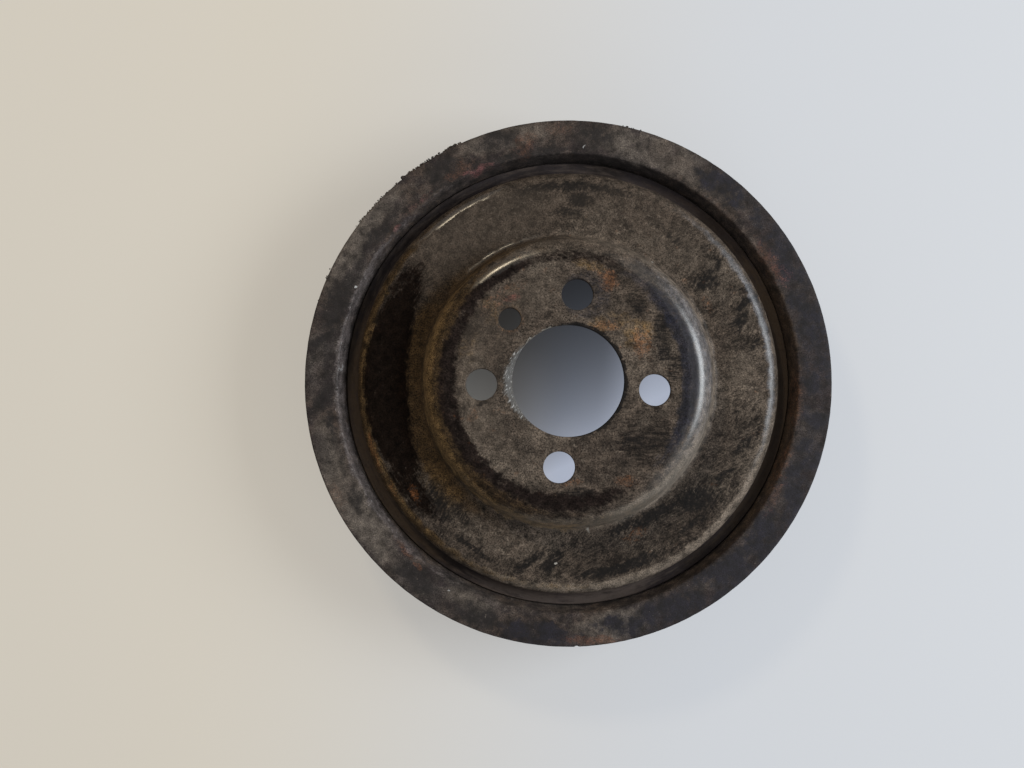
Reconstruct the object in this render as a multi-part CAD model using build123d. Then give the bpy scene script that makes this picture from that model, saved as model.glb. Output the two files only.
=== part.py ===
from build123d import *
from math import radians, tan
import os

# Crankshaft belt pulley with a rubber damper ring, sizes in millimetres.
# +Z runs along the pulley's axis out of its front. The origin is on the axis,
# in the plane of the belt rim's rear face. Three pieces of revolution nest
# from the outside in: the cast belt rim, the rubber ring, the pressed hub dish.

# Belt rim, a cast ring with ribbed belt grooves round its outside
rim_radius = 72.5
groove_count = 6
groove_pitch = 3.56
groove_half_angle = 20.0
rib_tip_land = 0.8
rib_tip_drop = 1.2
flange_width = 2.7
rim_wall = 10.7
rim_lip_flare = 1.5
rim_front_bevel = 0.4
rim_rear_bevel = 0.9

# Rubber ring between the rim's bore and the dish's skirt
rubber_thickness = 3.6
rubber_front_depth = 6.0
rubber_rear = 5.5
rubber_slit = 0.7

# Hub dish, one sheet pressing
sheet_thickness = 3.0
skirt_rear = 3.0
web_above_rim = 0.5
web_edge_bevel = 2.0
hub_rise = 11.5
hub_foot_radius = 40.4
hub_wall_draft = 14.0
hub_bend_radius = 4.5
foot_back_bevel = 2.0

# Holes through the hub's face, angles counted from +X
bore_radius = 15.0
bolt_hole_radius = 4.25
bolt_circle_radius = 23.25
square_bolt_angles = (0.0, 90.0, 270.0)
odd_bolt_angle = 188.5
locating_hole_radius = 3.05
locating_circle_radius = 22.8
locating_angle = 139.5

# Radii of the nested pieces, each from the one outside it
rim_bore_radius = rim_radius - rim_wall
rim_lip_radius = rim_bore_radius + rim_lip_flare
skirt_radius = rim_bore_radius - rubber_thickness

# Levels along the axis
rim_width = groove_count * groove_pitch + 2 * flange_width - rib_tip_land
rubber_front = rim_width - rubber_front_depth
web_front = rim_width + web_above_rim
hub_front = web_front + hub_rise

# V groove section, from the flank angle and the flat tips of the ribs
flank_slope = tan(radians(groove_half_angle))
rib_tip_radius = rim_radius - rib_tip_drop
groove_root_radius = rib_tip_radius - (groove_pitch - rib_tip_land) / 2 / flank_slope


def turned(section):
    """Turns a half section round the pulley's axis: its X is the radius, its Y the height."""
    return revolve(Plane.XZ * section, axis=Axis.Z)


def groove_outline():
    """The points of the grooved outside, from the rear flange up to the front one."""
    half_mouth = (rim_radius - groove_root_radius) * flank_slope
    rear_root = (rim_width - (groove_count - 1) * groove_pitch) / 2
    roots = [rear_root + groove * groove_pitch for groove in range(groove_count)]
    points = [(rim_radius, roots[0] - half_mouth)]
    for root in roots[:-1]:
        tip = root + groove_pitch / 2
        points.append((groove_root_radius, root))
        points.append((rib_tip_radius, tip - rib_tip_land / 2))
        points.append((rib_tip_radius, tip + rib_tip_land / 2))
    points.append((groove_root_radius, roots[-1]))
    points.append((rim_radius, roots[-1] + half_mouth))
    return points


def belt_rim():
    """The ring that the belt runs on: V grooves between two flanges, edges bevelled."""
    outside = [(rim_radius, 0), *groove_outline(), (rim_radius, rim_width)]
    inside = [(rim_lip_radius, rim_width), (rim_bore_radius, rubber_front), (rim_bore_radius, 0)]
    section = make_face(Polyline(*outside, *inside, close=True))
    front_corners = section.vertices().group_by(Axis.Y)[-1]
    section = chamfer(front_corners, rim_front_bevel)
    rear_outer_corner = section.vertices().sort_by_distance((rim_radius, 0, 0))[0]
    section = chamfer(rear_outer_corner, rim_rear_bevel)
    return turned(section)


def rubber_ring():
    """The bonded rubber, flat at both ends, with a slit left beside the rim's lip wall."""
    section = Polyline(
        (skirt_radius, rubber_front),
        (rim_bore_radius - rubber_slit / 2, rubber_front),
        (rim_bore_radius, rubber_front - rubber_slit),
        (rim_bore_radius, rubber_rear),
        (skirt_radius, rubber_rear),
        close=True,
    )
    return turned(make_face(section))


def hub_holes():
    """The round holes about the bore: four bolt holes and the locating hole."""
    def hole(radius, circle_radius, angle):
        middle = Pos(circle_radius, 0, hub_front - sheet_thickness / 2)
        return Rot(0, 0, angle) * middle * Cylinder(radius, 2 * sheet_thickness)

    bolt_angles = (*square_bolt_angles, odd_bolt_angle)
    bolts = [hole(bolt_hole_radius, bolt_circle_radius, angle) for angle in bolt_angles]
    return [*bolts, hole(locating_hole_radius, locating_circle_radius, locating_angle)]


def hub_dish():
    """The sheet pressing: flat hub, sloping step, flat web and skirt, bent as one."""
    hub_corner_radius = hub_foot_radius - hub_rise * tan(radians(hub_wall_draft))
    front_line = Polyline(
        (bore_radius, hub_front),
        (hub_corner_radius, hub_front),
        (hub_foot_radius, web_front),
        (skirt_radius, web_front),
        (skirt_radius, skirt_rear),
    )
    sheet = make_face(offset(front_line, sheet_thickness, side=Side.RIGHT, kind=Kind.INTERSECTION))

    def corner(radius, height):
        return sheet.vertices().sort_by_distance((radius, height, 0))[0]

    web_back = web_front - sheet_thickness
    sheet = fillet(corner(hub_corner_radius, hub_front), hub_bend_radius)
    sheet = chamfer(corner(skirt_radius, web_front), web_edge_bevel)
    sheet = chamfer(corner(hub_foot_radius - sheet_thickness, web_back), foot_back_bevel)
    hub_back = hub_front - sheet_thickness
    sheet = chamfer(corner(hub_corner_radius, hub_back), hub_bend_radius - sheet_thickness)
    return turned(sheet) - hub_holes()


def main():
    """Writes each piece to its own file in the folder parts."""
    os.makedirs("parts", exist_ok=True)
    pieces = {
        "belt_rim": belt_rim(),
        "rubber_ring": rubber_ring(),
        "hub_dish": hub_dish(),
    }
    for name, piece in pieces.items():
        export_step(piece, f"parts/{name}.step")


main()
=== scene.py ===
"""Looks of the crankshaft pulley: three finely turned pieces with worn paint, baked-on dust and rust.

model.glb gives every node its place. Each new piece takes its sizes in millimetres from the same
turned section as its node, with the round edges, punched holes and wear that the real pulley has.
"""
import logging
import random
from collections.abc import Callable
from dataclasses import dataclass
from enum import Enum
from functools import reduce
from math import atan2, cos, degrees, pi, radians, sin, tan

import bmesh
import bpy
from mathutils import Matrix, Vector, noise

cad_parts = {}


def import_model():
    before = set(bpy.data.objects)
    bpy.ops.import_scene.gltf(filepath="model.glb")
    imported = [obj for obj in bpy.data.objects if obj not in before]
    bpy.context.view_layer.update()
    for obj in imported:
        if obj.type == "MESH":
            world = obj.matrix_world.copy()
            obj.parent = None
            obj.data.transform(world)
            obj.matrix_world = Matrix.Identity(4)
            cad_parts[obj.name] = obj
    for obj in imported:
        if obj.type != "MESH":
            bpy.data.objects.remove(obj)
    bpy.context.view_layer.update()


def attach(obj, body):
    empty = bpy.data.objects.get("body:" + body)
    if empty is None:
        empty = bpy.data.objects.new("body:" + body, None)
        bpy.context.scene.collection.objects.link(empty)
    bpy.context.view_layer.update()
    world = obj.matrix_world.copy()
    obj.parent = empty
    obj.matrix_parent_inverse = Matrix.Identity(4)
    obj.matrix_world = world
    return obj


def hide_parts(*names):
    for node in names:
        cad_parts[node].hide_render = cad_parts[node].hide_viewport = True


Socket = bpy.types.NodeSocket
Number = Socket | float
Colour = tuple[float, float, float]

MM = 0.001
SMOOTH_ANGLE = radians(32)
log = logging.getLogger("pulley")


class Level:
    """Heights in millimetres that the pieces and their marks share."""
    RIM = 25.96
    RUBBER = 19.96
    WEB = 26.46
    HUB = 37.96


class Kind(Enum):
    """What a mark on a surface is."""
    # On the dish this also paints the shadow at the bore's right and top edge
    BLACK = "dark smudge"
    GLOSS = "clean black paint"
    UMBER = "brown-black paint"
    WIPED = "dust wiped off in streaks"
    # Painted dark reflection on the dish's hub margin and painted shade on the rim's right side; also a
    # washer's real print
    BLUE = "blue-black paint"
    OCHRE = "ochre stain"
    TAN = "tan rust stain"
    RUST = "orange rust"
    RED = "pink-red smear"
    # On the dish this also paints a highlight along the bore's upper-left edge
    PALE = "pale chip or fleck"
    DUST = "thick pale dust"
    FILM = "even film of brown dust"
    # On the rim this also makes the lip's left side lighter: wear and painted light
    SHINE = "smooth paint"
    # Painted bluish highlight on the right of the dish's bends
    PAINTED_HIGHLIGHT = "rubbed blue-grey paint"
    METAL = "scratched bare metal"


@dataclass(frozen=True)
class Spot:
    """An oval mark on a face.

    Its place is an angle in degrees from +X and a radius, and its long direction is turned
    from +X. Lengths are half the oval's, in millimetres.
    """
    angle: float
    radius: float
    long: float
    short: float
    turn: float = 0.0
    strength: float = 1.0
    soft: float = 1.2


@dataclass(frozen=True)
class Band:
    """A mark that runs round the axis, between two angles in degrees and two radii in millimetres."""
    start: float
    end: float
    inner: float
    outer: float
    strength: float = 1.0
    soft: float = 0.9


Marks = dict[Kind, tuple[Spot | Band, ...]]


def round_place(angle: float, radius: float, height: float) -> Vector:
    """Gives the place at an angle in degrees from +X, a distance from the axis and a height."""
    return Vector((radius * cos(radians(angle)), radius * sin(radians(angle)), height))


class Shade:
    """A finish in the making: a material's node tree, grown in short calls, with places in millimetres."""

    def __init__(self, name: str) -> None:
        """Starts an empty material.

        Args:
            name: The material's name.
        """
        self.material = bpy.data.materials.new(name)
        self.material.use_nodes = True
        self.tree = self.material.node_tree
        self.tree.nodes.clear()
        coordinates = self.node("TexCoord").outputs["Object"]
        self.place = self.vector("SCALE", coordinates, scale=1 / MM)
        self.found: dict[Kind, Socket] = {}
        self.colour: Socket | None = None

    def node(self, kind: str, inputs: dict | None = None, **settings) -> bpy.types.Node:
        """Adds a shader node.

        Args:
            kind: The node's type without its prefix.
            inputs: Each input's name or number, with a socket or a value.
            **settings: The node's own properties.

        Returns:
            The new node.
        """
        made = self.tree.nodes.new("ShaderNode" + kind)
        for name, value in settings.items():
            setattr(made, name, value)
        for key, value in (inputs or {}).items():
            if isinstance(value, Socket):
                self.tree.links.new(value, made.inputs[key])
            else:
                made.inputs[key].default_value = value
        return made

    def math(self, how: str, a: Number, b: Number = 0.0, c: Number = 0.0) -> Socket:
        """Works out one number from up to three."""
        return self.node("Math", {0: a, 1: b, 2: c}, operation=how).outputs[0]

    def vector(self, how: str, a: Socket, b: Socket | tuple = (0, 0, 0), scale: Number = 1.0) -> Socket:
        """Works out one vector, or the length of one."""
        made = self.node("VectorMath", {0: a, 1: b, 3: scale}, operation=how)
        return made.outputs[1 if how == "LENGTH" else 0]

    def step(self, value: Socket, low: float, high: float, to: tuple[float, float] = (0.0, 1.0)) -> Socket:
        """Eases a number from one value at low to another at high."""
        inputs = {"Value": value, "From Min": low, "From Max": high, "To Min": to[0], "To Max": to[1]}
        return self.node("MapRange", inputs, interpolation_type="SMOOTHSTEP").outputs["Result"]

    def times(self, a: Number, b: Number) -> Socket:
        """Multiplies two numbers."""
        return self.math("MULTIPLY", a, b)

    def rest(self, share: Socket) -> Socket:
        """Gives what a share leaves of the whole."""
        return self.math("SUBTRACT", 1.0, share)

    def mix(self, share: Number, a: Number, b: Number) -> Socket:
        """Mixes two numbers."""
        return self.math("MULTIPLY_ADD", share, self.math("SUBTRACT", b, a), a)

    def swung(self, base: Number, clouds: Socket, amount: float) -> Socket:
        """Makes a number larger and smaller by clouds about 0.5."""
        return self.math("MULTIPLY_ADD", self.math("SUBTRACT", clouds, 0.5), amount, base)

    def most(self, *values: Socket) -> Socket:
        """Gives the largest of several numbers."""
        return reduce(lambda largest, value: self.math("MAXIMUM", largest, value), values)

    def radius(self) -> Socket:
        """Gives the distance from the axis in millimetres."""
        return self.vector("LENGTH", self.vector("MULTIPLY", self.place, (1, 1, 0)))

    def blend(self, share: Number, a: Socket | Colour, b: Socket | Colour) -> Socket:
        """Mixes two colours.

        Args:
            share: How much of the second colour shows, from 0 to 1.
            a: The first colour.
            b: The second colour.

        Returns:
            The mixed colour.
        """
        made = self.node("Mix", {0: share}, data_type="RGBA")
        for slot, colour in ((6, a), (7, b)):
            if isinstance(colour, Socket):
                self.tree.links.new(colour, made.inputs[slot])
            else:
                made.inputs[slot].default_value = (*colour, 1)
        return made.outputs[2]

    def lay(self, share: Number, colour: Socket | Colour) -> None:
        """Covers a share of what shows so far with a colour."""
        self.colour = self.blend(share, self.colour, colour)

    def cover(self, kind: Kind, colour: Socket | Colour, *how: Number) -> Socket:
        """Lays a colour on the marks of one kind, feathered.

        Args:
            kind: The kind of mark.
            colour: The colour.
            *how: What feather takes after the share.

        Returns:
            The share that the colour takes.
        """
        share = self.feather(self.found[kind], *how)
        self.lay(share, colour)
        return share

    def speck(self, size: float, amount: float, shift: float) -> None:
        """Makes the colour so far lighter and darker in specks.

        Args:
            size: The specks' size in millimetres.
            amount: How much lighter and darker they are.
            shift: Moves the specks.
        """
        specks = self.noise(size, 2.0, 0.6, shift=shift)
        light = self.math("MULTIPLY_ADD", specks, 2 * amount, 1 - amount)
        self.colour = self.vector("SCALE", self.colour, scale=light)

    def noise(self, size: float, detail: float = 3.0, rough: float = 0.5, stretch: tuple = (1, 1, 1),
              shift: float = 0.0, turn: float = 0.0, on: Socket | None = None) -> Socket:
        """Adds clouds.

        Args:
            size: Their size in millimetres.
            detail: How many finer layers they have.
            rough: How strong the finer layers are.
            stretch: How much finer they are along each axis.
            shift: Moves them, so that no two clouds match.
            turn: Turns their stretch about the axis, in degrees.
            on: The places that they are read at.

        Returns:
            A number about 0.5.
        """
        scale = tuple(part / size for part in stretch)
        placed = self.vector("ADD", self.place if on is None else on, (shift, 1.7 * shift, 2.3 * shift))
        if turn:
            placed = self.node("VectorRotate", {"Vector": placed, "Angle": radians(turn)}).outputs[0]
        placed = self.vector("MULTIPLY", placed, scale)
        inputs = {"Vector": placed, "Scale": 1.0, "Detail": detail, "Roughness": rough}
        return self.node("TexNoise", inputs).outputs["Fac"]

    def warped(self, amount: float, size: float) -> Socket:
        """Moves the places about a little, so that what is drawn on them has ragged outlines.

        Args:
            amount: The furthest move in millimetres.
            size: The size of the waves in millimetres.

        Returns:
            The moved places.
        """
        scaled = self.vector("SCALE", self.place, scale=1 / size)
        clouds = self.node("TexNoise", {"Vector": scaled, "Scale": 1.0, "Detail": 4.0, "Roughness": 0.6})
        offset = self.vector("SUBTRACT", clouds.outputs["Color"], (0.5, 0.5, 0.5))
        return self.vector("ADD", self.place, self.vector("SCALE", offset, scale=2 * amount))

    def round_places(self, places: Socket) -> tuple[Socket, Socket]:
        """Turns places into angle, radius and height.

        Args:
            places: Places in millimetres.

        Returns:
            The same with the angle from -180 to 180, and from 0 to 360 degrees.
        """
        parts = self.node("SeparateXYZ", {0: places}).outputs
        angle = self.times(self.math("ARCTAN2", parts[1], parts[0]), degrees(1))
        radius = self.vector("LENGTH", self.node("CombineXYZ", {0: parts[0], 1: parts[1]}).outputs[0])
        whole = self.math("WRAP", angle, 360.0, 0.0)
        split = self.node("CombineXYZ", {0: angle, 1: radius, 2: parts[2]}).outputs[0]
        joined = self.node("CombineXYZ", {0: whole, 1: radius, 2: parts[2]}).outputs[0]
        return split, joined

    def ring_places(self, lanes: float, across: float) -> Socket:
        """Gives places that make clouds run round the axis or out from it.

        Args:
            lanes: The radius in millimetres at which the clouds keep their size round the axis.
            across: How much they change along the radius and the height.

        Returns:
            The places.
        """
        parts = self.node("SeparateXYZ", {0: self.place}).outputs
        flat = self.node("CombineXYZ", {0: parts[0], 1: parts[1]}).outputs[0]
        way = self.node("SeparateXYZ", {0: self.vector("NORMALIZE", flat)}).outputs
        reach = self.times(self.math("SUBTRACT", self.vector("LENGTH", flat), parts[2]), across)
        placed = {0: self.times(way[0], lanes), 1: self.times(way[1], lanes), 2: reach}
        return self.node("CombineXYZ", placed).outputs[0]

    def mark(self, listed: Marks, level_at: Callable[[float], float], depth: float,
             ragged: tuple[float, float]) -> None:
        """Finds how strong each kind of mark is from place to place, each mark with a soft, ragged outline.

        Args:
            listed: The spots and bands of each kind.
            level_at: Gives the surface's height in millimetres at a radius.
            depth: How far above and below that height a mark reaches.
            ragged: The furthest move of an outline, and the size of its waves.
        """
        places = self.warped(*ragged)
        split, joined = self.round_places(places)
        for kind, group in listed.items():
            shares = []
            for mark in group:
                if isinstance(mark, Band):
                    angle = (mark.start + mark.end) / 2
                    radius = (mark.inner + mark.outer) / 2
                    source = split if -90 <= angle <= 90 else joined
                    middle = (angle, radius, level_at(radius))
                    reach = ((mark.end - mark.start) / 2, (mark.outer - mark.inner) / 2, depth)
                    turn = 0.0
                else:
                    source = places
                    middle = round_place(mark.angle, mark.radius, level_at(mark.radius))
                    reach = (mark.long, mark.short, depth)
                    turn = radians(mark.turn)
                inputs = {"Vector": source, "Location": middle, "Rotation": (0, 0, turn), "Scale": reach}
                away = self.vector("LENGTH", self.node("Mapping", inputs, vector_type="TEXTURE").outputs[0])
                shares.append(self.step(away, 1 + mark.soft / 2, 1 - mark.soft / 2, (0.0, mark.strength)))
            self.found[kind] = self.most(*shares)

    def feather(self, share: Number, grain: Socket, amount: float, low: float, high: float,
                most: float = 1.0) -> Socket:
        """Breaks a soft share up by a grain, so that it ends in flecks or streaks.

        Args:
            share: The soft share.
            grain: Clouds about 0.5.
            amount: How strongly the grain counts.
            low: The sum where nothing shows.
            high: The sum where all of it shows.
            most: How much shows at most.

        Returns:
            The broken share.
        """
        broken = self.step(self.swung(share, grain, amount), low, high, (0.0, most))
        return self.times(broken, self.step(share, 0.0, 0.3))

    def finish(self, roughness: Socket, heights: list[tuple[Socket, float]], specular: Number,
               relief: Number = 1.0) -> bpy.types.Material:
        """Ends the tree with its surface, in the colour laid so far.

        Args:
            roughness: The surface's roughness.
            heights: Clouds with the height in millimetres that each stands for.
            specular: The strength of its gloss.
            relief: How much of the heights shows.

        Returns:
            The finished material.
        """
        surface = self.node("BsdfPrincipled", {"Base Color": self.colour, "Roughness": roughness,
                                               "Specular IOR Level": specular})
        normal = surface.inputs["Normal"]
        for height, distance in reversed(heights):
            bump = self.node("Bump", {"Height": height, "Distance": distance * MM, "Strength": relief})
            self.tree.links.new(bump.outputs["Normal"], normal)
            normal = bump.inputs["Normal"]
        self.end(surface)
        return self.material

    def end(self, surface: bpy.types.Node) -> None:
        """Links a surface to the material's output."""
        self.tree.links.new(surface.outputs[0], self.node("OutputMaterial").inputs["Surface"])


@dataclass(frozen=True)
class Corner:
    """A corner of a turned section: its radius, height and rounding in millimetres."""
    radius: float
    height: float
    rounding: float = 0.0


@dataclass(frozen=True)
class Section:
    """A closed half section that is turned round the axis."""
    corners: tuple[Corner, ...]
    longest: float = 1.2
    round_steps: int = 6

    def turned(self, steps: int) -> bmesh.types.BMesh:
        """Draws the outline, rounds its corners, divides it and spins it.

        Args:
            steps: The number of steps round the axis, a multiple of 16.

        Returns:
            A closed ring.
        """
        shape = bmesh.new()
        points = [shape.verts.new((c.radius * MM, 0, c.height * MM)) for c in self.corners]
        for first, second in zip(points, points[1:] + points[:1]):
            shape.edges.new((first, second))
        count = len(self.corners)
        for number, corner in enumerate(self.corners):
            if corner.rounding:
                before = self.corners[number - 1]
                after = self.corners[(number + 1) % count]
                way_in = Vector((corner.radius - before.radius, corner.height - before.height))
                way_out = Vector((after.radius - corner.radius, after.height - corner.height))
                cut = corner.rounding * tan(way_in.angle(way_out) / 2) * MM
                bmesh.ops.bevel(shape, geom=[points[number]], offset=cut, offset_type="OFFSET",
                                segments=self.round_steps, profile=0.5, affect="VERTICES", material=-1)
        for edge in shape.edges[:]:
            cuts = int(edge.calc_length() / (self.longest * MM))
            if cuts:
                bmesh.ops.subdivide_edges(shape, edges=[edge], cuts=cuts)
        bmesh.ops.spin(shape, geom=shape.verts[:] + shape.edges[:], cent=(0, 0, 0), axis=(0, 0, 1),
                       dvec=(0, 0, 0), angle=pi / 8, steps=steps // 16, use_merge=False, use_duplicate=False)
        for part in (8, 4, 2, 1):
            copied = bmesh.ops.duplicate(shape, geom=shape.verts[:] + shape.edges[:] + shape.faces[:])
            moved = [item for item in copied["geom"] if isinstance(item, bmesh.types.BMVert)]
            bmesh.ops.rotate(shape, verts=moved, cent=(0, 0, 0), matrix=Matrix.Rotation(pi / part, 3, "Z"))
        bmesh.ops.remove_doubles(shape, verts=shape.verts, dist=1e-7)
        bmesh.ops.recalc_face_normals(shape, faces=shape.faces)
        return shape


def roughen(shape: bmesh.types.BMesh, height: float, size: float, shift: float) -> None:
    """Moves the points in and out a little, as cast or pressed metal is.

    Args:
        shape: The mesh.
        height: The furthest move in millimetres.
        size: The size of the waves in millimetres.
        shift: Moves the waves, so that no two pieces match.
    """
    shape.normal_update()
    apart = Vector((shift, shift, shift))
    moves = [vert.normal * noise.noise(vert.co / (size * MM) + apart) for vert in shape.verts]
    for vert, move in zip(shape.verts, moves):
        vert.co += move * height * MM


def piece_from(shape: bmesh.types.BMesh, name: str, material: bpy.types.Material) -> bpy.types.Object:
    """Makes an object of a mesh, smooth but for its sharp edges.

    Args:
        shape: The mesh, which is freed.
        name: The piece's name.
        material: Its finish.

    Returns:
        The piece, linked to the scene.
    """
    mesh = bpy.data.meshes.new(name)
    shape.to_mesh(mesh)
    shape.free()
    mesh.shade_smooth()
    mesh.set_sharp_from_angle(angle=SMOOTH_ANGLE)
    mesh.materials.append(material)
    piece = bpy.data.objects.new(name, mesh)
    bpy.context.scene.collection.objects.link(piece)
    return piece


def settle(piece: bpy.types.Object, node: str | None) -> None:
    """Ties a piece to the pulley's one body.

    Args:
        piece: The new piece.
        node: The node that it stands for, or None for an added piece.
    """
    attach(piece, "root")
    if node:
        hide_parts(node)
    piece.data.calc_loop_triangles()
    log.info("%s: %d triangles", piece.name, len(piece.data.loop_triangles))


DISH_MARKS: Marks = {
    # The smooth patch on the web's left
    Kind.GLOSS: (
        Band(150, 222, 44, 56.3, 1.1, 0.5), Band(146, 180, 47.6, 55.6, 0.9, 0.7),
        Band(203, 232, 48.2, 55.6, 0.9),
    ),
    # Beside that patch, at the hub's margin, at the bore, where dirt and a painted shadow of its right and
    # top edge make a dark ring, and at the web's top
    Kind.BLACK: (
        Spot(152, 52.2, 2, 4.5, 60, 0.5), Band(206, 304, 30.8, 34, 0.6, 1), Band(-75, 112, 14.2, 15.9, 1.2),
        Band(76, 112, 52.8, 55.4, 0.8, 1),
        # On the web
        Spot(92, 50.3, 3.4, 2, 10, 0.9), Spot(95, 46.7, 4, 1.5, 5, 0.8), Spot(93, 54, 6.5, 0.8, 3, 0.75),
        Spot(60, 49, 3.6, 1.4, 150, 0.6), Spot(42, 46.9, 4, 2.2, 20, 0.9), Spot(44, 51.2, 3.6, 1.3, 60, 0.7),
        Spot(30, 53.6, 4.2, 1.2, 40, 0.9), Spot(26, 50.3, 3.2, 1.5, 70, 0.9),
        Spot(18, 52.5, 2.6, 1, 80, 0.7), Spot(347, 51.4, 5, 1.2, 50, 0.7),
        Spot(335, 49.8, 4.6, 1.2, 40, 0.75), Spot(324, 47.9, 6.4, 3.4, 25, 0.95),
        Spot(308, 43.4, 8, 1.7, 35, 0.9), Spot(296, 42.4, 5, 1.3, 50, 0.8), Spot(318, 52, 6, 1.2, 40, 0.7),
        Band(278, 305, 51.2, 54.6, 0.95), Spot(264, 50.1, 6.5, 1.3, 40, 0.9),
        Spot(271, 49.2, 5, 2, 60, 0.95), Spot(246, 52.2, 7, 0.9, 330, 0.85), Spot(229, 48.8, 6, 3, 305, 0.9),
        Spot(236, 46.5, 5, 1.6, 320, 0.6),
        # On the hub
        Spot(329, 26.6, 9, 2.2, 4, 0.55), Spot(38, 30.4, 3.2, 2, 30, 0.9), Spot(22, 26.6, 2, 2.6, 0, 0.9),
        Spot(52, 27.5, 3.6, 2.4, 140, 0.6), Spot(30, 27, 2.6, 3.6, 0, 0.65), Spot(12, 29, 2.2, 4, 0, 0.6),
        Spot(282, 31, 6, 1.8, 5, 0.9), Spot(200, 23.4, 2, 0.7, 30, 0.8),
    ),
    # The dark margin of the hub, from its top round the left to its bottom
    Kind.UMBER: (
        Band(108, 158, 31.9, 35.4, 1.05), Band(68, 116, 31.9, 35.2, 0.68), Band(140, 262, 30.2, 35, 1.1),
        Band(232, 304, 30.2, 35, 1.05, 1), Band(226, 300, 34, 37.6, 0.5, 1),
    ),
    # The hub's margin on the right, a painted dark reflection, and the print of a washer
    Kind.BLUE: (
        Band(-34, 66, 30.2, 35.2), Spot(84, 23.4, 6.7, 6.7, 0, 0.5, 0.25),
    ),
    # On the web, and last on the hub
    Kind.WIPED: (
        Band(268, 372, 41, 55.5, 1, 0.8), Band(8, 64, 43, 56, 0.7, 0.8), Band(222, 262, 43, 56, 0.6, 0.8),
        Band(308, 348, 20, 30.5, 1.1),
    ),
    Kind.OCHRE: (
        Band(108, 246, 36, 44.4), Band(116, 272, 33.4, 38, 1, 0.8), Band(146, 242, 38, 47),
        Band(138, 252, 55, 58.6), Band(225, 330, 36.2, 41.2, 0.6),
    ),
    # Along the bends, and thinly on the hub and the web
    Kind.TAN: (
        Band(128, 262, 36, 39.8, 1, 1), Band(226, 286, 37.8, 41.2, 0.75, 1),
        Band(122, 168, 25.5, 31.5, 0.38), Spot(226, 46, 9, 5, 312, 0.52),
        Band(150, 236, 55.2, 57.4, 0.65, 1), Band(230, 290, 55.2, 57.4, 0.4, 1),
        # Near the holes and at the bore
        Spot(60, 19.4, 6.5, 2.6, 15, 0.65), Spot(40, 23, 5, 5, 20, 0.6), Spot(84, 31.6, 5, 1.6, 175, 0.6),
        Spot(140, 24, 7, 5, 40, 0.38), Spot(170, 28, 2.6, 6, 0, 0.38),
    ),
    Kind.RED: (
        Band(120, 150, 26.5, 31, 0.35), Spot(130, 26.8, 2.4, 1.2, 20, 0.8),
    ),
    Kind.RUST: (
        Spot(74, 29.2, 2.6, 3.2, 20, 0.75), Spot(61, 17.9, 4.2, 1.5, 5, 0.65),
        Spot(33, 22.2, 2.8, 4.2, 20, 0.72), Spot(80, 30, 3, 1.2, 160, 0.5),
        Spot(139.5, 22.8, 4.3, 4.3, 0, 0.36, 0.3), Spot(278, 27.3, 3, 1.1, 10, 0.6),
        Spot(306, 30.8, 3.4, 1.6, 10, 0.6), Spot(206, 27, 1.6, 2.2, 0, 0.6), Spot(222, 52, 3, 1, 300, 0.7),
        Spot(206, 56.5, 6, 0.8, 292, 0.75), Spot(218, 56.5, 4, 0.8, 300, 0.6),
        Spot(36, 44, 3, 1.2, 120, 0.45), Spot(300, 45.5, 4, 2, 30, 0.45),
    ),
    # Flecks, thin films on the step, and a painted highlight along the bore's upper-left edge
    Kind.PALE: (
        Spot(272, 49.7, 0.45, 0.3, 20, 1, 0.4), Spot(284, 40.9, 0.8, 0.5, 330, 0.6, 0.7),
        Spot(61, 40.4, 0.4, 0.3, 120, 0.6, 0.6), Band(280, 350, 36.2, 40.8, 0.17, 1.2),
        Band(244, 292, 37.4, 41, 0.11, 1.2), Band(102, 162, 14.8, 15.16, 0.5, 0.8),
    ),
    # On the step and the outer bend, then on the web and the hub
    Kind.DUST: (
        Band(250, 352, 35.6, 41.4, 1.2, 0.7), Band(-62, 70, 35.8, 41.2, 1.3, 0.6),
        Band(226, 352, 55.4, 58, 1.15), Band(20, 80, 54.8, 58.6, 0.3, 0.8),
        Band(50, 100, 36, 41.4, 0.5, 0.8), Band(55, 90, 42, 54, 0.36), Band(90, 148, 43, 55, 0.32),
        Band(-26, 32, 43, 54, 0.3), Band(158, 218, 22, 29.5, 0.7, 0.8), Band(225, 275, 43, 52, 0.5),
    ),
    Kind.FILM: (
        Band(98, 152, 41, 56.4, 0.46, 0.7), Band(50, 100, 41, 56, 0.22, 0.7),
        Band(96, 232, 19, 31.5, 0.34, 0.7),
    ),
    # The bends, rubbed smooth
    Kind.SHINE: (
        Band(-45, 76, 32.6, 38, 0.9, 0.8), Band(-45, 70, 39.4, 41.8, 0.5, 0.8),
        Band(-22, 60, 54.9, 57.6, 0.72, 1), Band(108, 142, 34.3, 36.9, 1.15, 0.8),
        Band(100, 146, 39.6, 41.8, 1, 0.7), Band(114, 144, 55.2, 58.6, 1.3, 0.6),
    ),
    # Painted bluish highlight on the right of the hub's bend and of the outer bend
    Kind.PAINTED_HIGHLIGHT: (
        Band(-24, 66, 33.8, 39.2, 0.66, 1.2), Band(-12, 58, 54.8, 57.2, 0.6, 1.2),
    ),
    # The bevel that wore into the bore's left edge
    Kind.METAL: (
        Spot(189, 5.6, 11.6, 11.6, 0, 1, 0.16),
    ),
}


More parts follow.
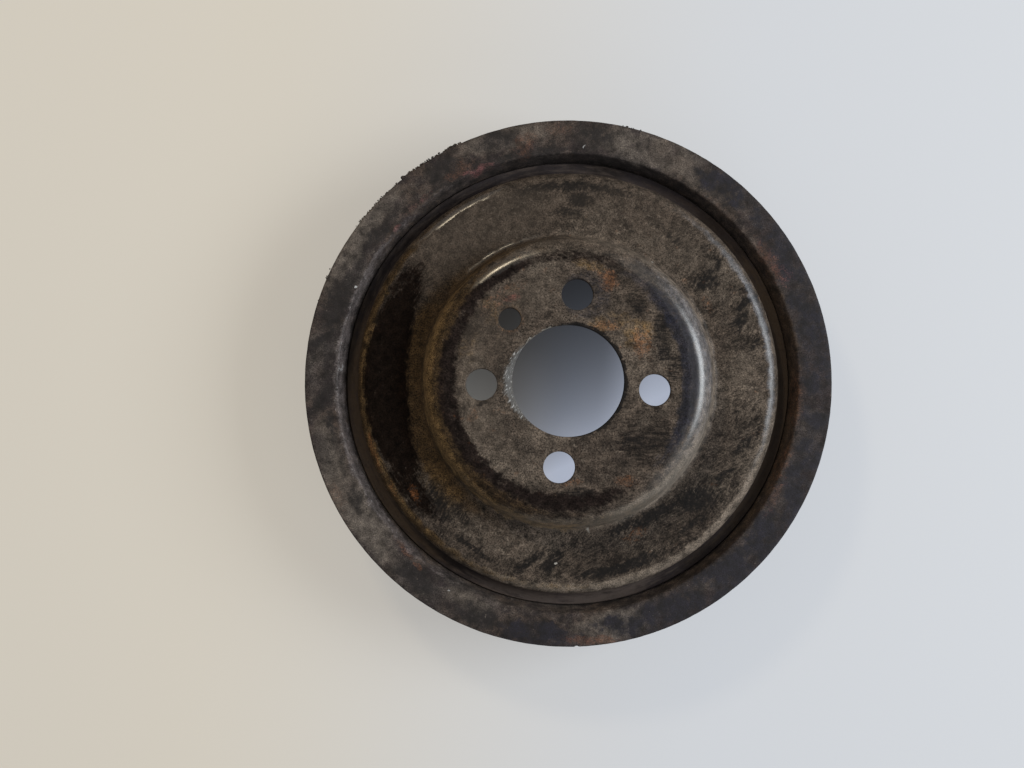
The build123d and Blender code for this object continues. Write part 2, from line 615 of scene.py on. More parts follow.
RIM_MARKS: Marks = {
    # Painted shade on the right and the lower right: the flange darker and bluer there
    Kind.BLUE: (
        Band(-34, 60, 64, 75, 0.7, 0.7), Band(282, 354, 63, 75, 0.85, 0.6), Band(294, 330, 64, 75, 0.7),
        Band(262, 278, 66.5, 75, 0.7), Spot(60, 70, 7, 3.4, 150, 0.8),
    ),
    # On the flange, and last along the lip
    Kind.BLACK: (
        Spot(176, 68.4, 5.2, 1.3, 45, 0.9), Spot(190, 67.5, 6, 2.2, 60, 0.85), Spot(167, 67, 8, 4, 75, 0.9),
        Spot(126, 68, 5, 4.5, 40, 0.75), Spot(112, 69.5, 6.5, 2.8, 20, 0.85),
        Spot(91, 67.8, 6.5, 5, 10, 0.7), Spot(238, 67.5, 7, 3.2, 330, 0.85), Spot(254, 68.5, 8, 3, 345, 0.8),
        Spot(268, 69, 7, 3.2, 5, 0.8), Spot(214, 66.5, 6, 2, 300, 0.6), Spot(202, 70, 5, 2, 290, 0.6),
        Spot(148, 66.5, 7, 2, 55, 0.7), Spot(58, 68.5, 8, 4, 145, 0.75), Spot(22, 69.5, 9, 3, 112, 0.6),
        Spot(330, 67, 10, 3, 60, 0.6), Band(92, 134, 63.2, 65.4, 0.75), Band(52, 138, 61.2, 63.4, 0.65, 1),
        Band(150, 214, 64.4, 67.6, 0.5),
    ),
    Kind.RUST: (
        Spot(106, 66.9, 4.2, 3.2, 60, 0.7), Spot(37, 64.8, 8, 2, 125, 0.7), Spot(2, 62.6, 2, 10, 2, 0.6),
        Spot(345, 62.8, 2, 8, 345, 0.6), Spot(232, 63.9, 4, 1.2, 320, 0.75),
        Spot(237, 65.2, 1.6, 0.9, 320, 0.9, 0.6), Spot(281, 70.9, 8, 1.3, 8, 0.85),
        Spot(213, 70.5, 5, 2, 305, 0.5), Spot(98, 70, 5, 2, 10, 0.5), Spot(123, 65.5, 6, 2, 35, 0.55),
        Spot(338, 64.5, 7, 1.6, 70, 0.5),
    ),
    Kind.RED: (
        Spot(33, 66.2, 6, 3, 122, 0.38), Spot(119, 63.9, 5, 1, 30, 0.85),
        Spot(144, 63.6, 1.3, 0.8, 50, 0.9, 0.6), Spot(136, 64.5, 6, 0.9, 45, 0.5),
    ),
    # The lip on the right
    Kind.OCHRE: (
        Band(-52, 52, 60.4, 63.8, 0.75, 1),
    ),
    Kind.PALE: (
        Spot(162, 64.4, 0.5, 0.35, 60, 1, 0.5), Spot(182, 63.2, 1, 0.18, 88, 0.5, 0.9),
        Spot(92, 65.6, 0.7, 0.22, 60, 0.7, 0.5), Spot(246, 66.4, 0.35, 0.3, 0, 0.6, 0.6),
    ),
    Kind.DUST: (
        Band(136, 168, 67.5, 74, 0.8, 0.8), Band(194, 236, 63.5, 73, 0.82, 0.8),
        Band(98, 122, 66.5, 73, 0.75, 0.8), Band(46, 96, 63.5, 73, 0.62, 0.8),
        Band(277, 296, 63.8, 72.5, 0.9), Band(244, 258, 63.8, 68.5, 0.8), Band(300, 345, 63.5, 70, 0.55),
        Band(346, 368, 64, 72, 0.45), Band(16, 34, 66, 73, 0.4),
    ),
    # The lip on the left, rubbed, and painted lighter where light from the right falls on it
    Kind.SHINE: (
        Band(134, 246, 61.6, 64.2),
    ),
}


RUBBER_MARKS: Marks = {
    Kind.OCHRE: (
        Band(-40, 40, 57.5, 62.5, 0.6, 0.8), Band(160, 240, 57.5, 62.5, 0.5, 0.8),
    ),
    Kind.DUST: (
        Band(244, 304, 57.5, 62.5, 0.9, 0.8), Band(75, 130, 57.5, 62.5, 0.45),
        Band(112, 168, 57.5, 62.5, 0.6),
    ),
}


class DustyPaint(Shade):
    """Old black paint on the pressed dish, under baked-on road dust."""
    paint: Colour = (0.0062, 0.0045, 0.0038)
    patch: Colour = (0.0056, 0.0031, 0.0021)
    umber: Colour = (0.0118, 0.0080, 0.0070)
    # Colour of the painted bluish highlight on the bends
    painted_highlight: Colour = (0.086, 0.090, 0.106)
    dust: Colour = (0.094, 0.071, 0.0545)
    dark_dust: Colour = (0.037, 0.028, 0.022)
    pale_dust: Colour = (0.158, 0.127, 0.100)
    film: Colour = (0.050, 0.0385, 0.0295)
    ochre: Colour = (0.048, 0.028, 0.011)
    rust: Colour = (0.180, 0.072, 0.028)
    tan: Colour = (0.170, 0.106, 0.046)
    red: Colour = (0.180, 0.062, 0.050)
    # Colour of the painted dark bluish reflection on the hub's margin, and of the washer's print
    blue: Colour = (0.010, 0.0105, 0.018)
    # Pale flecks, and the painted highlight along the bore's upper-left edge
    pale: Colour = (0.330, 0.310, 0.280)
    metal: Colour = (0.098, 0.094, 0.090)
    bright_metal: Colour = (0.420, 0.410, 0.400)
    hub_edge: float = 36.0
    web_edge: float = 41.0

    def __init__(self) -> None:
        """Starts the finish with its marks, its clouds and the streaks in which the dust was wiped."""
        super().__init__("dusty_black_paint")
        self.mark(DISH_MARKS, self.level_at, 8.0, (1.5, 3.0))
        self.fine = self.noise(0.42, 2.0, 0.6, shift=3)
        self.grain = self.noise(1.1, 5.0, 0.65, shift=11)
        self.blotch = self.noise(6.0, 5.0, 0.62, shift=23)
        self.cloud = self.noise(24.0, 3.0, 0.5, shift=31)
        slanted = self.noise(0.9, 3.0, 0.7, stretch=(0.26, 1.5, 1), shift=5, turn=-34)
        steep = self.noise(0.9, 3.0, 0.7, stretch=(0.35, 1.5, 1), shift=8, turn=-66)
        level = self.noise(0.8, 3.0, 0.7, stretch=(0.22, 1.4, 1), shift=9, turn=-4)
        slanted = self.mix(self.step(self.noise(7.0, 2.0, 0.5, shift=53), 0.44, 0.58), slanted, steep)
        self.wiping = self.mix(self.step(self.radius(), 34, 41), level, slanted)

    def level_at(self, radius: float) -> float:
        """Gives the dish's height at a radius."""
        inner = Level.HUB if radius < self.hub_edge else (Level.WEB + Level.HUB) / 2
        return Level.WEB if radius > self.web_edge else inner

    def lay_dust(self) -> None:
        """Lays the dust, with the paint bare where it is thin or wiped off, and the stains in it."""
        self.colour = self.blend(self.step(self.blotch, 0.36, 0.64), self.dark_dust, self.dust)
        self.lay(self.step(self.grain, 0.48, 0.78, (0, 0.70)), self.pale_dust)
        self.lay(self.step(self.cloud, 0.44, 0.66, (0, 0.42)), self.pale_dust)
        self.cover(Kind.DUST, self.pale_dust, self.grain, 1.2, 0.2, 1.0, 0.7)
        bare = self.swung(0.28, self.blotch, 2.0)
        bare = self.math("MULTIPLY_ADD", self.found[Kind.DUST], -0.30, bare)
        bare = self.math("MULTIPLY_ADD", self.found[Kind.WIPED], 0.30, bare)
        bare = self.swung(bare, self.grain, 0.9)
        self.lay(self.feather(bare, self.wiping, 1.3, 0.16, 0.96, 0.92), self.paint)
        self.cover(Kind.OCHRE, self.ochre, self.blotch, 1.2, 0.05, 1.0, 0.90)
        self.cover(Kind.TAN, self.tan, self.swung(self.grain, self.blotch, 1.0), 1.4, 0.2, 1.1, 0.80)

    def lay_paint(self) -> None:
        """Lays the smudges with the painted shadow at the bore, the painted bluish highlight on the bends,
        the dark margins with their painted dark reflection on the right, and the clean patch.
        """
        rings = self.noise(0.9, 4.0, 0.66, on=self.ring_places(8.0, 1.5), shift=15)
        strokes = self.noise(0.9, 3.0, 0.7, stretch=(0.24, 1.5, 1), shift=63, turn=26)
        smeared = self.mix(0.5, self.grain, self.wiping)
        ringed = self.mix(0.5, self.grain, rings)
        stroked = self.mix(0.4, self.grain, strokes)
        # Dark smudges, and the painted shadow at the bore's right and top edge
        self.smudge_and_shadow = self.cover(Kind.BLACK, self.paint, smeared, 3.8, 0.02, 1.0, 0.97)
        # Painted highlight: bluish grey on the right of the hub's bend and of the outer bend
        self.cover(Kind.PAINTED_HIGHLIGHT, self.painted_highlight, ringed, 1.6, 0.0, 1.0, 0.85)
        self.margin = self.cover(Kind.UMBER, self.umber, stroked, 3.0, 0.02, 1.05, 0.97)
        self.gloss = self.cover(Kind.GLOSS, self.patch, ringed, 2.4, 0.08, 0.95, 0.98)
        # Painted dark reflection on the right of the hub's margin, and the washer's print
        self.shadow = self.cover(Kind.BLUE, self.blue, ringed, 2.0, 0.10, 1.05, 0.90)
        self.dusty = self.rest(self.most(self.gloss, self.margin))

    def lay_flecks(self) -> None:
        """Lays the pores, the rust, the red smears, the crumbs, the film, the pale flecks and the painted
        highlight at the bore.
        """
        filled = self.step(self.found[Kind.DUST], 0.0, 1.0, (1.0, 0.35))
        self.lay(self.times(self.step(self.fine, 0.47, 0.33, (0, 0.75)), filled), self.paint)
        flecks = self.mix(0.4, self.grain, self.fine)
        rust = self.feather(self.found[Kind.RUST], flecks, 3.4, 0.25, 1.5, 0.85)
        specks = self.step(self.noise(2.2, 4.0, 0.6, shift=47), 0.62, 0.82, (0, 0.4))
        specks = self.times(self.times(specks, self.step(self.cloud, 0.46, 0.60)), self.rest(self.gloss))
        self.lay(self.most(rust, specks), self.rust)
        self.cover(Kind.RED, self.red, flecks, 3.4, 0.25, 1.4, 0.8)
        crumbs = self.step(self.noise(0.8, 2.0, 0.5, shift=59), 0.68, 0.80, (0, 0.6))
        self.lay(self.times(crumbs, self.dusty), self.pale_dust)
        self.speck(0.33, 1.7, 83)
        self.speck(2.4, 1.2, 97)
        self.lay(self.times(self.found[Kind.FILM], self.dusty), self.film)
        # Pale flecks and films, and the painted highlight along the bore's edge
        self.lay(self.found[Kind.PALE], self.pale)

    def build(self) -> bpy.types.Material:
        """Builds the finish, from the dust up to the bare metal.

        Returns:
            The finished material.
        """
        self.lay_dust()
        self.lay_paint()
        self.lay_flecks()
        scratched = self.noise(0.6, 4.0, 0.7, stretch=(0.45, 1.6, 1), shift=71, turn=-62)
        shown = self.blend(self.step(scratched, 0.54, 0.70), self.metal, self.bright_metal)
        metal = self.cover(Kind.METAL, shown, scratched, 2.4, 0.05, 1.05)
        smooth = self.most(self.times(self.smudge_and_shadow, 0.5), self.times(self.margin, 0.6),
                           self.times(self.gloss, 0.8), self.times(self.shadow, 0.9), self.times(metal, 0.5))
        smooth = self.math("SUBTRACT", smooth, self.times(self.grain, 0.25))
        shine = self.found[Kind.SHINE]
        roughness = self.step(self.most(smooth, shine), -0.1, 1.15, (0.92, 0.24))
        specular = self.math("MULTIPLY_ADD", self.dusty, 0.15, self.step(shine, 0.2, 1.1, (0.03, 0.60)))
        heights = [(self.blotch, 0.07), (self.grain, 0.10), (self.fine, 0.03)]
        return self.finish(roughness, heights, specular, self.step(shine, 0.1, 0.8, (1.0, 0.0)))


class GrimedIron(Shade):
    """The rim's cast iron under old paint, grime and light rust."""
    grey: Colour = (0.061, 0.051, 0.0465)
    brown: Colour = (0.075, 0.053, 0.041)
    plum: Colour = (0.022, 0.0165, 0.0170)
    paint: Colour = (0.0085, 0.0070, 0.0075)
    # Colour of the painted shade on the flange's right side
    blue: Colour = (0.0075, 0.0072, 0.0132)
    pale_dust: Colour = (0.146, 0.122, 0.101)
    rust: Colour = (0.130, 0.056, 0.032)
    red: Colour = (0.160, 0.062, 0.060)
    ochre: Colour = (0.052, 0.030, 0.015)
    pale: Colour = (0.420, 0.420, 0.420)
    # Lighter colour of the rubbed lip; on the lip's left it is also painted light
    rubbed: Colour = (0.102, 0.086, 0.084)
    film: Colour = (0.046, 0.038, 0.034)

    def __init__(self) -> None:
        """Starts the finish with its marks and its clouds."""
        super().__init__("grimed_iron")
        self.mark(RIM_MARKS, lambda radius: Level.RIM, 9.0, (2.4, 4.5))
        self.fine = self.noise(0.42, 2.0, 0.6, shift=7)
        self.grain = self.noise(1.2, 5.0, 0.65, shift=13)
        self.blotch = self.noise(5.5, 5.0, 0.62, shift=29)
        self.mottle = self.mix(0.55, self.grain, self.blotch)

    def lay_grime(self) -> None:
        """Lays the iron's tones, its dust, its dark stains, its paint and the painted shade on its right
        side.
        """
        cloud = self.noise(18.0, 3.0, 0.5, shift=37)
        self.colour = self.blend(self.step(cloud, 0.38, 0.62), self.grey, self.brown)
        calm = self.step(self.found[Kind.DUST], 0.1, 0.9, (1.0, 0.62))
        self.lay(self.times(calm, self.step(self.blotch, 0.60, 0.38, (0, 0.95))), self.plum)
        self.lay(self.step(self.grain, 0.48, 0.80, (0, 0.7)), self.pale_dust)
        self.cover(Kind.DUST, self.pale_dust, self.mottle, 2.2, 0.1, 1.1, 0.7)
        spokes = self.noise(2.2, 4.0, 0.62, on=self.ring_places(70.0, 0.4), shift=41)
        veins = self.mix(0.6, spokes, self.mottle)
        stain = self.feather(self.times(cloud, 0.8), veins, 3.4, 0.32, 1.1, 0.85)
        self.lay(self.times(stain, calm), self.paint)
        self.smear = self.cover(Kind.BLACK, self.paint, self.mottle, 3.0, 0.02, 1.0, 0.93)
        patchy = self.mix(0.75, self.grain, self.blotch)
        # Painted shade: the flange darker and bluer on the right and the lower right
        self.shadow = self.cover(Kind.BLUE, self.blue, patchy, 5.5, 0.0, 1.05, 0.97)
        self.cover(Kind.OCHRE, self.ochre, self.mottle, 1.6, 0.1, 1.1, 0.8)

    def lay_flecks(self) -> None:
        """Lays the pores, the rust, the rubbed lip with its painted light, the crumbs, the film and the pale
        flecks.
        """
        filled = self.step(self.found[Kind.DUST], 0.0, 1.0, (1.0, 0.3))
        self.lay(self.times(self.step(self.fine, 0.46, 0.33, (0, 0.75)), filled), self.paint)
        flecks = self.mix(0.4, self.grain, self.fine)
        self.cover(Kind.RUST, self.rust, flecks, 3.0, 0.20, 1.5, 0.8)
        self.cover(Kind.RED, self.red, flecks, 3.0, 0.25, 1.4, 0.8)
        # The lip's left side, rubbed, and painted lighter where light from the right falls on it
        self.worn = self.feather(self.found[Kind.SHINE], flecks, 3.0, 0.25, 1.3)
        self.lay(self.times(self.worn, 0.8), self.rubbed)
        chips = self.step(self.noise(0.5, 2.0, 0.5, shift=67), 0.62, 0.74, (0, 0.5))
        self.lay(self.times(self.worn, chips), self.pale)
        self.lay(self.step(self.noise(0.9, 2.0, 0.5, shift=61), 0.69, 0.80, (0, 0.5)), self.pale_dust)
        self.speck(0.33, 1.6, 89)
        self.speck(3.0, 1.5, 101)
        self.lay(0.18, self.film)
        self.lay(self.found[Kind.PALE], self.pale)

    def build(self) -> bpy.types.Material:
        """Builds the finish.

        Returns:
            The finished material.
        """
        self.lay_grime()
        self.lay_flecks()
        smooth = self.most(self.times(self.smear, 0.6), self.times(self.shadow, 0.7), self.worn)
        smooth = self.math("SUBTRACT", smooth, self.times(self.grain, 0.3))
        heights = [(self.blotch, 0.07), (self.grain, 0.12), (self.fine, 0.04)]
        return self.finish(self.step(smooth, -0.1, 0.9, (0.90, 0.50)), heights, 0.22)


class AgedRubber(Shade):
    """Dull rubber with dirt pressed into it."""
    rubber: Colour = (0.021, 0.0145, 0.0125)
    purple: Colour = (0.030, 0.023, 0.024)
    dirt: Colour = (0.060, 0.042, 0.029)
    dust: Colour = (0.086, 0.065, 0.055)

    def __init__(self) -> None:
        """Starts the finish with its marks."""
        super().__init__("aged_rubber")
        self.mark(RUBBER_MARKS, lambda radius: Level.RUBBER, 6.0, (2.0, 4.0))

    def build(self) -> bpy.types.Material:
        """Builds the finish.

        Returns:
            The finished material.
        """
        fine = self.noise(0.42, 2.0, 0.6, shift=2)
        grain = self.noise(1.4, 4.0, 0.62, shift=17)
        lanes = self.noise(1.0, 4.0, 0.62, on=self.ring_places(12.0, 1.2), shift=19)
        cloud = self.noise(20.0, 3.0, 0.5, shift=43)
        self.colour = self.blend(self.step(cloud, 0.4, 0.6), self.rubber, self.purple)
        stained = self.math("ADD", self.found[Kind.OCHRE], 0.25)
        self.lay(self.feather(stained, lanes, 1.6, 0.2, 0.9, 0.85), self.dirt)
        self.cover(Kind.DUST, self.dust, lanes, 1.8, 0.3, 1.0, 0.8)
        return self.finish(self.step(grain, 0.3, 0.7, (0.72, 0.92)), [(grain, 0.12), (fine, 0.04)], 0.25)


@dataclass
class BeltRim:
    """The cast ring with its belt grooves, its flange and the dirt caked on its edge.

    Stretches of dirt are two angles in degrees, a count of crumbs and the largest one's size.
    """
    finish: bpy.types.Material
    radius: float = 72.5
    bore: float = 61.8
    lip: float = 63.3
    grooves: int = 6
    pitch: float = 3.56
    tip_land: float = 0.8
    tip_drop: float = 1.2
    flank_angle: float = 20.0
    root_round: float = 0.35
    edge_round: float = 0.45
    lip_round: float = 0.7
    outer_round: float = 0.3
    small_round: float = 0.2
    rear_bevel: float = 0.9
    steps: int = 720
    nick_angle: float = 278.0
    nick_half_angle: float = 0.45
    nick_inner: float = 71.9
    nick_bottom: float = 23.96
    nick_share: float = 0.005
    dirt: tuple = ((120, 135, 120, 0.48), (132.4, 135, 34, 0.8), (121, 124, 30, 0.62),
                   (135, 150, 60, 0.36), (78, 84, 16, 0.26), (152, 172, 12, 0.3))

    def section(self) -> Section:
        """Draws the half section, from the rear outside up and round to the bore.

        Returns:
            The section.
        """
        slope = tan(radians(self.flank_angle))
        tip = self.radius - self.tip_drop
        root = tip - (self.pitch - self.tip_land) / 2 / slope
        half_mouth = (self.radius - root) * slope
        first = (Level.RIM - (self.grooves - 1) * self.pitch) / 2
        roots = [first + number * self.pitch for number in range(self.grooves)]
        corners = [
            Corner(self.radius - self.rear_bevel, 0, self.outer_round),
            Corner(self.radius, self.rear_bevel, self.outer_round),
            Corner(self.radius, roots[0] - half_mouth, self.outer_round),
        ]
        for middle in roots[:-1]:
            corners.append(Corner(root, middle, self.root_round))
            corners.append(Corner(tip, middle + (self.pitch - self.tip_land) / 2, self.small_round))
            corners.append(Corner(tip, middle + (self.pitch + self.tip_land) / 2, self.small_round))
        corners += [
            Corner(root, roots[-1], self.root_round),
            Corner(self.radius, roots[-1] + half_mouth, self.outer_round),
            Corner(self.radius, Level.RIM, self.edge_round), Corner(self.lip, Level.RIM, self.lip_round),
            Corner(self.bore, Level.RUBBER), Corner(self.bore, 0, self.small_round),
        ]
        return Section(tuple(corners), longest=1.6, round_steps=3)

    def nick(self, shape: bmesh.types.BMesh) -> None:
        """Presses the small nick into the flange's outer edge.

        Args:
            shape: The ring's mesh.
        """
        for vert in shape.verts:
            away = abs(degrees(atan2(vert.co.y, vert.co.x)) % 360 - self.nick_angle) / self.nick_half_angle
            reach = vert.co.xy.length / MM
            if away < 1 and reach > self.nick_inner and vert.co.z / MM > self.nick_bottom:
                vert.co *= 1 - self.nick_share * (1 - away)

    def build(self) -> None:
        """Builds the ring, and the dirt on it."""
        shape = self.section().turned(self.steps)
        roughen(shape, height=0.05, size=2.5, shift=5)
        self.nick(shape)
        settle(piece_from(shape, "turned_belt_rim", self.finish), "belt_rim")
        self.crust()

    def crust(self) -> None:
        """Scatters crumbs of caked dirt along stretches of the flange's outer edge."""
        chance = random.Random(7)
        shape = bmesh.new()
        for start, end, count, largest in self.dirt:
            for _ in range(count):
                angle = chance.uniform(start, end)
                size = chance.triangular(0.14, largest, 0.25)
                reach = self.radius - chance.uniform(-0.30, 0.35)
                place = round_place(angle, reach, Level.RIM - chance.uniform(0.2, 1.4))
                turn = Matrix.Rotation(chance.uniform(0, pi), 4, "Z")
                turn = turn @ Matrix.Rotation(chance.uniform(0, pi), 4, "X")
                sides = (size, size * chance.uniform(0.5, 0.9), size * chance.uniform(0.4, 0.8))
                matrix = Matrix.LocRotScale(place * MM, turn.to_3x3(), Vector(sides) * MM)
                bmesh.ops.create_icosphere(shape, subdivisions=2, radius=1.0, matrix=matrix)
        roughen(shape, height=0.09, size=0.35, shift=9)
        settle(piece_from(shape, "caked_dirt", self.finish), None)


@dataclass
class RubberRing:
    """The bonded rubber between the rim and the dish."""
    finish: bpy.types.Material
    inner: float = 58.2
    outer: float = 61.8
    rear: float = 5.5
    slit: float = 0.7
    hollow: float = 0.35
    hollow_round: float = 3.0
    edge_round: float = 0.15
    steps: int = 480

    def build(self) -> None:
        """Builds the ring, slightly hollow at both ends, with its slit beside the rim."""
        middle = (self.inner + self.outer) / 2
        front = Level.RUBBER
        corners = (
            Corner(self.inner, self.rear), Corner(middle, self.rear + self.hollow, self.hollow_round),
            Corner(self.outer, self.rear), Corner(self.outer, front - self.slit),
            Corner(self.outer - self.slit / 2, front, self.edge_round),
            Corner(middle, front - self.hollow, self.hollow_round), Corner(self.inner, front),
        )
        shape = Section(corners, longest=0.8, round_steps=3).turned(self.steps)
        roughen(shape, height=0.05, size=3.0, shift=2)
        settle(piece_from(shape, "moulded_rubber_ring", self.finish), "rubber_ring")


@dataclass(frozen=True)
class PunchedHole:
    """A round hole through the hub's face: an angle in degrees and lengths in millimetres."""
    angle: float
    circle: float
    radius: float
    edge: float = 0.18


@dataclass
class HubDish:
    """The pressed dish with its hub, step, web and skirt."""
    finish: bpy.types.Material
    sheet: float = 3.0
    bore: float = 15.0
    skirt: float = 58.2
    skirt_rear: float = 3.0
    foot: float = 40.4
    wall_draft: float = 14.0
    hub_bend: float = 4.5
    foot_bend: float = 1.4
    web_bend: float = 3.9
    bore_edge: float = 0.22
    back_edge: float = 0.15
    skirt_edge: float = 0.4
    inside_round: float = 0.6
    inside_bend: float = 2.4
    bolt_angles: tuple[float, ...] = (0, 90, 188.5, 270)
    bolt_circle: float = 23.25
    bolt_radius: float = 4.25
    locating_hole: PunchedHole = PunchedHole(139.5, 22.8, 3.05)
    wear_angle: float = 189.0
    wear_aside: float = 5.6
    wear_radii: tuple[float, float] = (9.6, 12.8)
    wear_depth: float = 3.2
    steps: int = 480
    hole_sides: int = 72
    punch_stands: float = 2.0

    def holes(self) -> list[PunchedHole]:
        """Lists the four bolt holes, the left one off the square pattern, and the locating hole."""
        bolts = [PunchedHole(angle, self.bolt_circle, self.bolt_radius) for angle in self.bolt_angles]
        return [*bolts, self.locating_hole]

    def section(self) -> Section:
        """Draws the half section: the front line of the sheet, then its back line.

        Returns:
            The section.
        """
        slope = tan(radians(self.wall_draft))
        corner = self.foot - (Level.HUB - Level.WEB) * slope
        shift = self.sheet * tan(radians(90 - self.wall_draft) / 2)
        back_hub = Level.HUB - self.sheet
        back_web = Level.WEB - self.sheet
        corners = (
            Corner(self.bore, Level.HUB, self.bore_edge), Corner(corner, Level.HUB, self.hub_bend),
            Corner(self.foot, Level.WEB, self.foot_bend), Corner(self.skirt, Level.WEB, self.web_bend),
            Corner(self.skirt, self.skirt_rear, self.skirt_edge),
            Corner(self.skirt - self.sheet, self.skirt_rear, self.skirt_edge),
            Corner(self.skirt - self.sheet, back_web, self.inside_round),
            Corner(self.foot - shift, back_web, self.foot_bend + self.inside_bend),
            Corner(corner - shift, back_hub, self.hub_bend - self.inside_bend),
            Corner(self.bore, back_hub, self.back_edge),
        )
        return Section(corners, longest=1.5, round_steps=7)

    def cutter(self, hole: PunchedHole) -> bmesh.types.BMesh:
        """Makes the punch that cuts one hole, flared where it meets the hub's front.

        Args:
            hole: The hole.

        Returns:
            The punch's mesh.
        """
        shape = bmesh.new()
        deep = -2 * self.sheet
        flare = hole.radius + hole.edge + self.punch_stands
        corners = ((0, self.punch_stands), (flare, self.punch_stands), (hole.radius, -hole.edge),
                   (hole.radius, deep), (0, deep))
        points = [shape.verts.new((radius * MM, 0, height * MM)) for radius, height in corners]
        for first, second in zip(points, points[1:]):
            shape.edges.new((first, second))
        bmesh.ops.spin(shape, geom=shape.verts[:] + shape.edges[:], cent=(0, 0, 0), axis=(0, 0, 1),
                       dvec=(0, 0, 0), angle=2 * pi, steps=self.hole_sides, use_merge=True,
                       use_duplicate=False)
        bmesh.ops.remove_doubles(shape, verts=shape.verts, dist=1e-7)
        bmesh.ops.recalc_face_normals(shape, faces=shape.faces)
        place = round_place(hole.angle, hole.circle, Level.HUB)
        bmesh.ops.translate(shape, verts=shape.verts, vec=place * MM)
        return shape

    def worn_bevel(self) -> bmesh.types.BMesh:
        """Makes the cone that wears the crescent into the bore's left edge.

        Returns:
            The cone's mesh.
        """
        shape = bmesh.new()
        rear, front = self.wear_radii
        bmesh.ops.create_cone(shape, cap_ends=True, segments=96, radius1=rear * MM, radius2=front * MM,
                              depth=self.wear_depth * MM)
        middle = round_place(self.wear_angle, self.wear_aside, Level.HUB)
        bmesh.ops.translate(shape, verts=shape.verts, vec=middle * MM)
        return shape

    def build(self) -> None:
        """Turns the dish, wears its bore and punches its holes."""
        shape = self.section().turned(self.steps)
        roughen(shape, height=0.04, size=6.0, shift=3)
        piece = piece_from(shape, "pressed_hub_dish", self.finish)
        cutters = [self.worn_bevel(), *(self.cutter(hole) for hole in self.holes())]
        for number, cutter in enumerate(cutters):
            mesh = bpy.data.meshes.new(f"punch_{number}")
            cutter.to_mesh(mesh)
            cutter.free()
            punch = bpy.data.objects.new(mesh.name, mesh)
            bpy.context.scene.collection.objects.link(punch)
            cut = piece.modifiers.new("hole", "BOOLEAN")
            cut.operation = "DIFFERENCE"
            cut.solver = "EXACT"
            cut.object = punch
            graph = bpy.context.evaluated_depsgraph_get()
            whole = piece.data
            piece.data = bpy.data.meshes.new_from_object(piece.evaluated_get(graph))
            piece.modifiers.clear()
            bpy.data.meshes.remove(whole)
            bpy.data.objects.remove(punch)
        piece.data.name = piece.name
        piece.data.shade_smooth()
        piece.data.set_sharp_from_angle(angle=SMOOTH_ANGLE)
        settle(piece, "hub_dish")


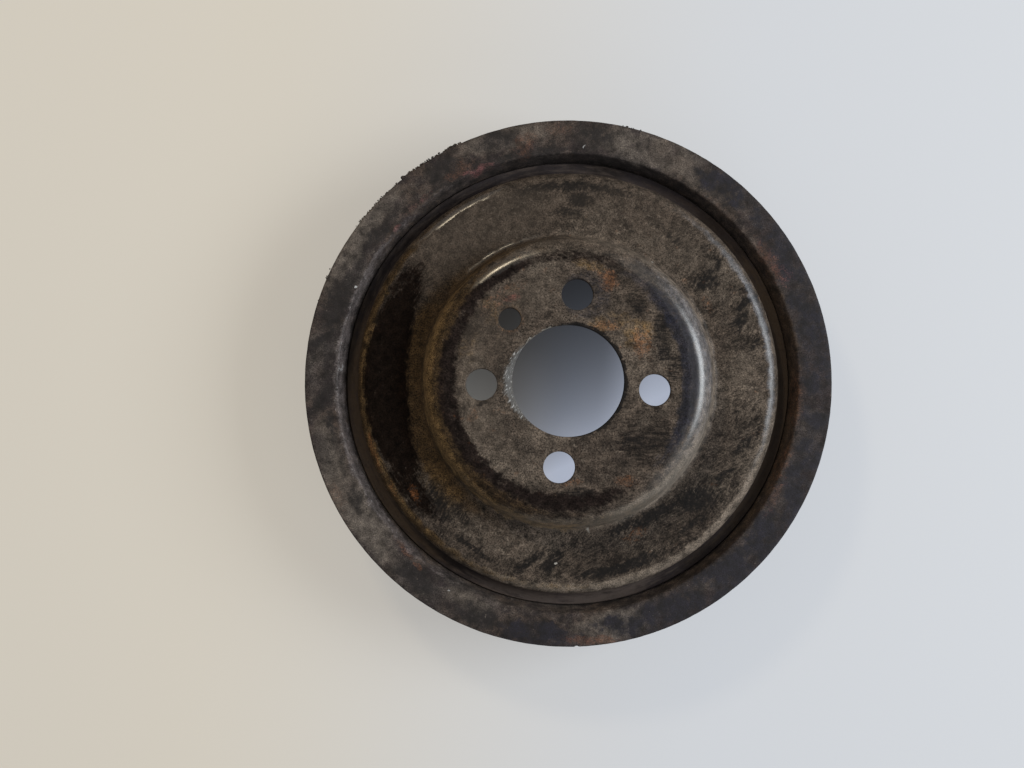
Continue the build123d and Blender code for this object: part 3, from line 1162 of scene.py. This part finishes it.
@dataclass(frozen=True)
class Studio:
    """The pale floor, the soft lights and the camera at the photograph's angle."""
    lens: float = 50.0
    sensor: float = 36.0
    away: float = 391.14
    aside: float = 15.24
    above: float = 0.52
    lean_right: float = -0.0194
    lean_up: float = 0.0297
    roll: float = -6.07
    floor_glow: float = 0.39
    # Painted light under the pulley: the glow grows towards the lower right and at the right-hand holes
    shade_glow: float = 0.112
    hole_glow: float = 0.16
    most_glow: float = 0.44
    glow_growth: float = 1.057
    glow_way: tuple[float, float] = (0.58, -0.98)
    side_reach: tuple[float, float] = (-110, 60)
    hole_reach: tuple[float, float] = (9, 26)
    tint_reach: tuple[float, float] = (-25, 3)
    shade_edge: tuple[float, float] = (64, 68)
    floor_gap: float = 0.06
    world_level: float = 0.29

    def camera(self) -> None:
        """Places the camera so that the rim's front lies where the photograph shows it."""
        out = Vector((self.lean_right, self.lean_up, 1)).normalized()
        turn = radians(self.roll)
        right = Vector((cos(turn), sin(turn), 0))
        right = (right - out * right.dot(out)).normalized()
        up = out.cross(right)
        seen = Matrix((right, up, out)).transposed().to_4x4()
        middle = Vector((self.aside, self.above, -self.away)) * MM
        part_to_view = Matrix.Translation(middle) @ seen @ Matrix.Translation((0, 0, -Level.RIM * MM))
        lens = bpy.data.cameras.new("photo_camera")
        lens.lens = self.lens
        lens.sensor_width = self.sensor
        lens.clip_start = 0.01
        camera = bpy.data.objects.new("photo_camera", lens)
        camera.matrix_world = part_to_view.inverted()
        bpy.context.scene.collection.objects.link(camera)
        bpy.context.scene.camera = camera

    def light(self, name: str, azimuth: float, height: float, distance: float, size: tuple[float, float],
              power: float, colour: Colour) -> None:
        """Adds a soft light that faces the pulley.

        Args:
            name: The light's name.
            azimuth: Its direction in the picture, in degrees from the right.
            height: Its angle above the floor in degrees.
            distance: Its distance in metres.
            size: Its width and height in metres.
            power: Its power in watts.
            colour: Its colour.
        """
        data = bpy.data.lights.new(name, "AREA")
        data.shape = "RECTANGLE"
        data.size, data.size_y = size
        data.energy = power
        data.color = colour
        lamp = bpy.data.objects.new(name, data)
        way = radians(azimuth - self.roll)
        rise = radians(height)
        place = Vector((cos(way) * cos(rise), sin(way) * cos(rise), sin(rise))) * distance
        lamp.location = place
        lamp.rotation_euler = place.to_track_quat("Z", "Y").to_euler()
        bpy.context.scene.collection.objects.link(lamp)

    def floor(self) -> None:
        """Lays the pale floor, whose glow is for the camera only and fades in the shade under the pulley;
        its painted light grows towards the lower right and at the right-hand holes, warm on the left and
        cool on the right.
        """
        shape = bmesh.new()
        bmesh.ops.create_grid(shape, x_segments=1, y_segments=1, size=2.5,
                              matrix=Matrix.Translation((0, 0, -self.floor_gap * MM)))
        shade = Shade("pale_floor")
        parts = shade.node("SeparateXYZ", {0: shade.place}).outputs
        right = shade.step(parts[0], *self.side_reach)
        # Painted light colour: the floor's own colour warm on the left and cool on the right
        warm = (0.286, 0.266, 0.232)
        cool = (0.262, 0.274, 0.290)
        surface = shade.node("BsdfDiffuse", {"Color": shade.blend(right, warm, cool)})
        path = shade.node("LightPath").outputs
        seen = shade.most(path["Is Camera Ray"], path["Is Glossy Ray"])
        # Painted light: under the pulley the glow grows towards the lower right, and more at the right-hand
        # holes
        along, across = self.glow_way
        slant = shade.math("MULTIPLY_ADD", parts[1], across, shade.times(parts[0], along))
        growing = shade.times(shade.math("POWER", self.glow_growth, slant), self.shade_glow)
        growing = shade.math("ADD", growing, shade.step(parts[0], *self.hole_reach, (0, self.hole_glow)))
        under = shade.math("MINIMUM", growing, self.most_glow)
        outside = shade.step(shade.radius(), *self.shade_edge)
        glow = shade.mix(outside, under, self.floor_glow)
        # Painted light colour in the glow: warm on the left and cool on the right
        inward = shade.step(parts[0], *self.tint_reach)
        near_tint = shade.blend(inward, (1.0, 0.94, 0.87), (0.88, 0.97, 1.19))
        far_tint = shade.blend(right, (1.02, 0.95, 0.83), (0.97, 0.99, 1.04))
        tint = shade.blend(outside, near_tint, far_tint)
        shine = shade.node("Emission", {"Color": tint, "Strength": shade.times(seen, glow)})
        shade.end(shade.node("AddShader", {0: surface.outputs[0], 1: shine.outputs[0]}))
        piece_from(shape, "pale_floor", shade.material)

    def build(self) -> None:
        """Builds the whole studio."""
        self.floor()
        world = bpy.data.worlds.new("studio")
        world.use_nodes = True
        back = world.node_tree.nodes["Background"]
        back.inputs["Color"].default_value = (0.98, 0.99, 1.0, 1)
        back.inputs["Strength"].default_value = self.world_level
        scene = bpy.context.scene
        scene.world = world
        self.light("window", 6, 38, 0.9, (0.5, 0.45), 7.2, (0.92, 0.97, 1.0))
        self.light("low_window", -55, 30, 1.0, (0.6, 0.4), 1.5, (0.95, 0.98, 1.0))
        self.light("warm_lamp", 119, 46, 0.9, (0.12, 0.12), 1.7, (1.0, 0.84, 0.60))
        self.camera()
        scene.view_settings.view_transform = "Standard"


def main() -> None:
    """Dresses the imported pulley, then builds its studio."""
    logging.basicConfig(level=logging.INFO, format="%(name)s: %(message)s")
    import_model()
    BeltRim(GrimedIron().build()).build()
    RubberRing(AgedRubber().build()).build()
    HubDish(DustyPaint().build()).build()
    Studio().build()


if __name__ == "__main__":
    main()
